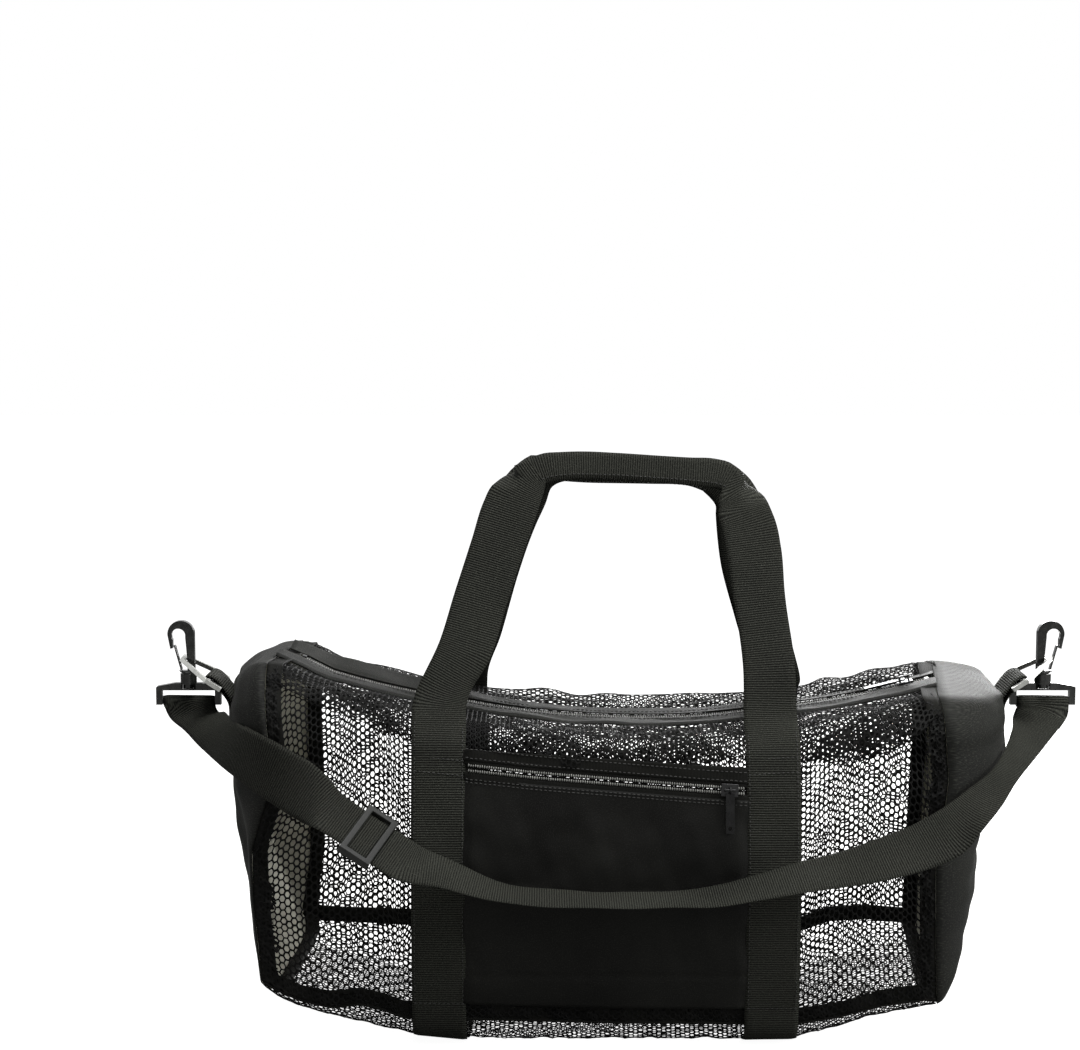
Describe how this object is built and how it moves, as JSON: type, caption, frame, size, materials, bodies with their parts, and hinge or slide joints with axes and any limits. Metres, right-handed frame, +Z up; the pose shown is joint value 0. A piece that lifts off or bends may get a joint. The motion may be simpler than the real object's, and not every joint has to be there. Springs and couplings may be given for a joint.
{
  "type": "mesh ball bag",
  "caption": "Soft zipped duffel of open netting with solid fabric ends, a front zip pocket, two webbing carry handles and a clip-on shoulder strap with an adjuster.",
  "frame": {"origin": "centre of the flat underside the bag rests on, midway between its end seams and between its front and back walls", "axes": "+X along the bag towards the end with the closed main zip slider, +Y from the pocket wall to the back wall, +Z up"},
  "size_m": [0.68, 0.2521, 0.4175],
  "materials": {
    "netting": "knitted open polyester net, matt",
    "end_fabric": "coated woven polyester, soft sheen",
    "seam_tape": "folded binding, matt",
    "zip_coil": "moulded nylon coil",
    "zip_tape": "woven zip tape, matt",
    "zip_metal": "black lacquer, semi-gloss",
    "pocket_fabric": "fine woven polyester, matt",
    "webbing": "ribbed woven polypropylene",
    "ring_metal": "cast, satin",
    "clip_plastic": "injection moulded, glossy"
  },
  "bodies": {
    "bag": {"mesh_front_panel": "netting", "mesh_back_panel": "netting", "mesh_bottom_panel": "netting", "end_panel_left": "end_fabric", "end_panel_right": "end_fabric", "zip_flap_front": "end_fabric", "zip_flap_back": "end_fabric", "bottom_seam_front": "seam_tape", "bottom_seam_back": "seam_tape", "end_binding_left": "seam_tape", "end_binding_right": "seam_tape", "main_zip_coil_front": "zip_coil", "main_zip_coil_back": "zip_coil", "pocket_zip_coil_lower": "zip_coil", "pocket_zip_coil_upper": "zip_coil", "main_zip_stops": "zip_coil", "main_zip_tape_front": "zip_tape", "main_zip_tape_back": "zip_tape", "pocket_zip_tape_lower": "zip_tape", "pocket_zip_tape_upper": "zip_tape", "pocket_panel": "pocket_fabric", "pocket_top_band": "pocket_fabric", "front_strap_left": "webbing", "front_strap_right": "webbing", "back_strap_left": "webbing", "back_strap_right": "webbing", "bottom_strap_left": "webbing", "bottom_strap_right": "webbing", "end_tab_left": "webbing", "end_tab_right": "webbing"},
    "main_zip_slider": {"main_zip_slider": "zip_metal"},
    "main_zip_pull": {"main_zip_pull": "zip_metal"},
    "pocket_zip_slider": {"pocket_zip_slider": "zip_metal"},
    "pocket_zip_pull": {"pocket_zip_pull": "zip_metal"},
    "handle_front": {"carry_handle_front": "webbing"},
    "handle_back": {"carry_handle_back": "webbing"},
    "ring_left": {"triangle_ring_left": "ring_metal"},
    "ring_right": {"triangle_ring_right": "ring_metal"},
    "strap": {"shoulder_strap": "webbing", "clip_loop_left": "clip_plastic", "clip_loop_right": "clip_plastic"},
    "hook_left": {"clip_hook_left": "clip_plastic"},
    "hook_right": {"clip_hook_right": "clip_plastic"},
    "gate_left": {"clip_gate_left": "clip_plastic"},
    "gate_right": {"clip_gate_right": "clip_plastic"},
    "adjuster": {"strap_adjuster": "clip_plastic", "adjuster_loop": "webbing"}
  },
  "joints": [
    {"name": "main_zip_travel", "type": "hinge", "parent": "bag", "child": "main_zip_slider", "pos_m": [0.02759, 0, 1.01409], "axis": [0, 1, 0], "range_deg": [0, 31]},
    {"name": "main_pull_swing", "type": "hinge", "parent": "main_zip_slider", "child": "main_zip_pull", "pos_m": [0.2134, 0, 0.24829], "axis": [0, 1, 0], "range_deg": [0, 150]},
    {"name": "pocket_zip_travel", "type": "slide", "parent": "bag", "child": "pocket_zip_slider", "axis": [-0.9981, 0.0137, 0.0604], "range_m": [0, 0.17]},
    {"name": "pocket_pull_swing", "type": "hinge", "parent": "pocket_zip_slider", "child": "pocket_zip_pull", "pos_m": [0.07599, -0.1053, 0.18876], "axis": [-0.9981, 0.0137, 0.0604], "range_deg": [0, 150]},
    {"name": "front_handle_fold", "type": "hinge", "parent": "bag", "child": "handle_front", "pos_m": [-0.01, -0.072, 0.23775], "axis": [0.9991, 0, -0.0417], "range_deg": [0, 111]},
    {"name": "back_handle_fold", "type": "hinge", "parent": "bag", "child": "handle_back", "pos_m": [0.005, 0.072, 0.23787], "axis": [-0.9997, 0, 0.025], "range_deg": [0, 111]},
    {"name": "ring_swing_left", "type": "hinge", "parent": "bag", "child": "ring_left", "pos_m": [-0.2984, 0, 0.2503], "axis": [0, 1, 0], "range_deg": [-0.5, 0.5]},
    {"name": "ring_swing_right", "type": "hinge", "parent": "bag", "child": "ring_right", "pos_m": [0.2984, 0, 0.2503], "axis": [0, 1, 0], "range_deg": [-0.5, 0.5]},
    {"name": "strap_lift", "type": "hinge", "parent": "bag", "child": "strap", "pos_m": [0, 0, 0.2604], "axis": [-1, 0, 0], "range_deg": [0, 20]},
    {"name": "hook_swivel_left", "type": "hinge", "parent": "strap", "child": "hook_left", "pos_m": [-0.316, 0, 0.254], "axis": [0, 0, 1], "range_deg": [-10, 10]},
    {"name": "gate_open_left", "type": "hinge", "parent": "hook_left", "child": "gate_left", "pos_m": [-0.321, 0, 0.2562], "axis": [0, 1, 0], "range_deg": [0, 2], "stiffness_Nm_per_rad": 0.05, "springref_deg": -2.86},
    {"name": "hook_swivel_right", "type": "hinge", "parent": "strap", "child": "hook_right", "pos_m": [0.316, 0, 0.254], "axis": [0, 0, 1], "range_deg": [-10, 10]},
    {"name": "gate_open_right", "type": "hinge", "parent": "hook_right", "child": "gate_right", "pos_m": [0.321, 0, 0.2562], "axis": [0, -1, 0], "range_deg": [0, 2], "stiffness_Nm_per_rad": 0.05, "springref_deg": -2.86},
    {"name": "adjuster_slide", "type": "slide", "parent": "strap", "child": "adjuster", "axis": [0.8404, -0.1251, -0.5273], "range_m": [-0.015, 0.015]}
  ]
}
